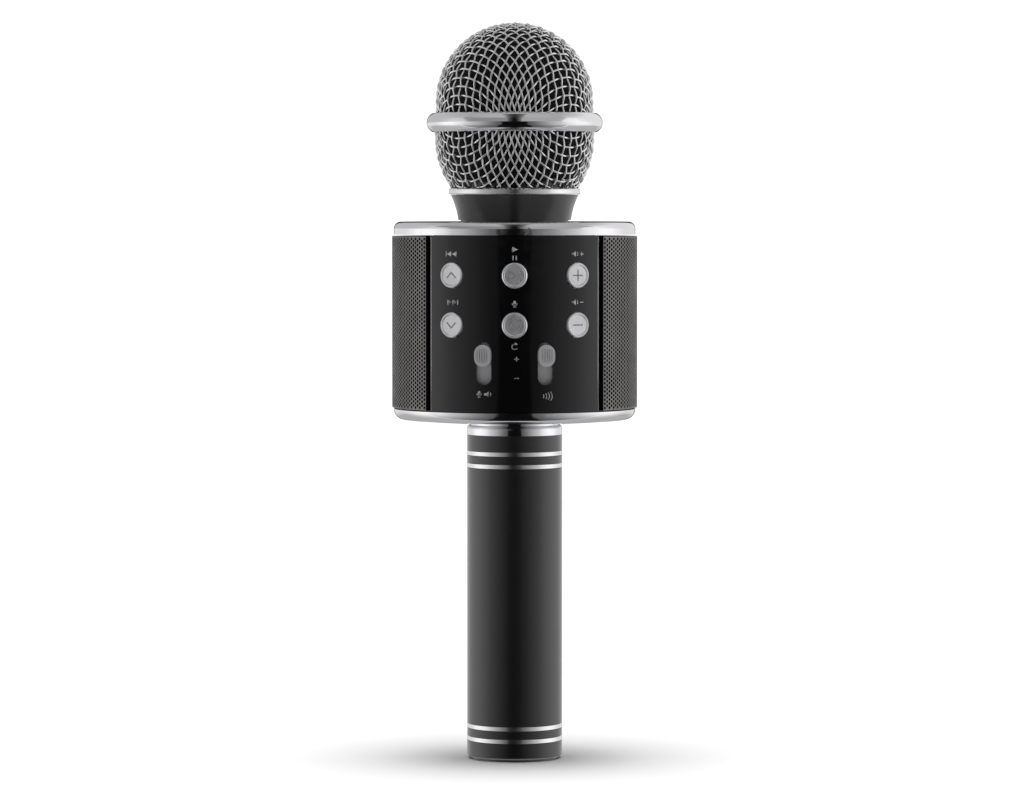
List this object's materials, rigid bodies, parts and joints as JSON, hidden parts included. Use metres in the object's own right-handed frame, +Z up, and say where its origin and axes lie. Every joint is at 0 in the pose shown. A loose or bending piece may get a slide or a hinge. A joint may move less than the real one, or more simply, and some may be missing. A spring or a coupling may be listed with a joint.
{
  "type": "karaoke microphone",
  "caption": "Hand-held karaoke microphone: woven ball grille on a flared neck, a round loudspeaker barrel with buttons and two sliders, and a slim round grip.",
  "frame": {"origin": "centre of the tail cap's flat underside, on the microphone's long axis", "axes": "+Z up along the microphone from the tail cap to the head; the control panel faces -Y, the socket panel faces +Y, and the two loudspeakers face +X and -X"},
  "size_m": [0.0784, 0.0783, 0.2356],
  "materials": {
    "anodised_black": "satin",
    "chrome": "polished",
    "plated_plastic": "gloss",
    "silver_plastic": "satin",
    "gloss_black": "gloss",
    "black_plastic": "matte",
    "grey_plastic": "matte",
    "clear_guide": "gloss",
    "woven_wire": "satin",
    "perforated_sheet": "satin",
    "steel": "satin",
    "magnet_steel": "matte",
    "cell_wrap": "satin",
    "brass": "satin",
    "foam": "matte",
    "rubber": "matte",
    "paper_cone": "matte",
    "board": "satin",
    "wire_insulation": "satin"
  },
  "bodies": {
    "body": {"handle_tube": "anodised_black", "handle_bands": "chrome", "handle_collar": "chrome", "handle_adapter": "anodised_black", "battery_sleeve": "black_plastic", "battery_cell": "cell_wrap", "contact_board": "board", "positive_contact": "brass", "bottom_cap": "plated_plastic", "top_cap": "plated_plastic", "front_panel": "gloss_black", "rear_panel": "gloss_black", "chassis_front": "black_plastic", "chassis_rear": "black_plastic", "case_screws": "steel", "speaker_screws": "steel", "control_board": "board", "switch_bodies": "black_plastic", "slide_pots": "grey_plastic", "board_chips": "black_plastic", "rear_board": "board", "usb_socket": "steel", "card_socket": "steel", "charging_socket": "steel", "audio_jack": "black_plastic", "indicator_light": "clear_guide", "wiring_loom": "wire_insulation", "neck_collar": "black_plastic", "capsule_mount": "black_plastic", "capsule_boot": "rubber", "mic_capsule": "steel", "left_speaker_mesh": "perforated_sheet", "left_speaker_frame": "steel", "left_speaker_magnet": "magnet_steel", "left_speaker_surround": "rubber", "right_speaker_mesh": "perforated_sheet", "right_speaker_frame": "steel", "right_speaker_magnet": "magnet_steel", "right_speaker_surround": "rubber"},
    "head": {"grille_dome": "woven_wire", "grille_cup": "woven_wire", "grille_band": "chrome", "grille_base_ring": "chrome", "foam_windscreen": "foam"},
    "head_gasket": {"head_seal": "rubber"},
    "tail_gasket": {"tail_seal": "rubber"},
    "tail": {"tail_cap": "black_plastic", "tail_spring": "steel"},
    "previous_key": {"previous_button": "silver_plastic"},
    "play_key": {"play_button": "silver_plastic"},
    "volume_up_key": {"volume_up_button": "silver_plastic"},
    "next_key": {"next_button": "silver_plastic"},
    "replay_key": {"replay_button": "silver_plastic"},
    "volume_down_key": {"volume_down_button": "silver_plastic"},
    "power_key": {"power_button": "silver_plastic"},
    "mic_volume": {"mic_volume_knob": "grey_plastic"},
    "echo": {"echo_knob": "grey_plastic"},
    "left_cone": {"left_speaker_cone": "paper_cone"},
    "right_cone": {"right_speaker_cone": "paper_cone"}
  },
  "joints": [
    {"name": "head_lift", "type": "slide", "parent": "body", "child": "head_gasket", "axis": [0, 0, 1], "range_m": [0, 0.00413]},
    {"name": "head_turn", "type": "hinge", "parent": "head_gasket", "child": "head", "pos_m": [0, 0, 0.1827], "axis": [0, 0, 1], "range_deg": [0, 990]},
    {"name": "tail_drop", "type": "slide", "parent": "body", "child": "tail_gasket", "axis": [0, 0, -1], "range_m": [0, 0.00601]},
    {"name": "tail_turn", "type": "hinge", "parent": "tail_gasket", "child": "tail", "pos_m": [0, 0, 0.0047], "axis": [0, 0, -1], "range_deg": [0, 1440], "deforming": ["tail_spring"]},
    {"name": "previous_press", "type": "slide", "parent": "body", "child": "previous_key", "axis": [0.512, 0.859, 0], "range_m": [0, 0.0005], "stiffness_N_per_m": 800, "springref_m": -0.0008},
    {"name": "play_press", "type": "slide", "parent": "body", "child": "play_key", "axis": [0, 1, 0], "range_m": [0, 0.0005], "stiffness_N_per_m": 800, "springref_m": -0.0008},
    {"name": "volume_up_press", "type": "slide", "parent": "body", "child": "volume_up_key", "axis": [-0.512, 0.859, 0], "range_m": [0, 0.0005], "stiffness_N_per_m": 800, "springref_m": -0.0008},
    {"name": "next_press", "type": "slide", "parent": "body", "child": "next_key", "axis": [0.512, 0.859, 0], "range_m": [0, 0.0005], "stiffness_N_per_m": 800, "springref_m": -0.0008},
    {"name": "replay_press", "type": "slide", "parent": "body", "child": "replay_key", "axis": [0, 1, 0], "range_m": [0, 0.0005], "stiffness_N_per_m": 800, "springref_m": -0.0008},
    {"name": "volume_down_press", "type": "slide", "parent": "body", "child": "volume_down_key", "axis": [-0.512, 0.859, 0], "range_m": [0, 0.0005], "stiffness_N_per_m": 800, "springref_m": -0.0008},
    {"name": "power_press", "type": "slide", "parent": "body", "child": "power_key", "axis": [0, -1, 0], "range_m": [0, 0.0005], "stiffness_N_per_m": 800, "springref_m": -0.0008},
    {"name": "mic_volume_slide", "type": "slide", "parent": "body", "child": "mic_volume", "axis": [0, 0, 1], "range_m": [-0.0062, 0]},
    {"name": "echo_slide", "type": "slide", "parent": "body", "child": "echo", "axis": [0, 0, 1], "range_m": [-0.0062, 0]},
    {"name": "left_cone_stroke", "type": "slide", "parent": "body", "child": "left_cone", "axis": [-1, 0, 0], "range_m": [-0.0008, 0.0008], "stiffness_N_per_m": 1500, "deforming": ["left_speaker_surround"]},
    {"name": "right_cone_stroke", "type": "slide", "parent": "body", "child": "right_cone", "axis": [1, 0, 0], "range_m": [-0.0008, 0.0008], "stiffness_N_per_m": 1500, "deforming": ["right_speaker_surround"]}
  ],
  "couplings": [
    {"joint": "head_lift", "follows": "head_turn", "m_per_rad": 0.00023873},
    {"joint": "tail_drop", "follows": "tail_turn", "m_per_rad": 0.00023873}
  ]
}
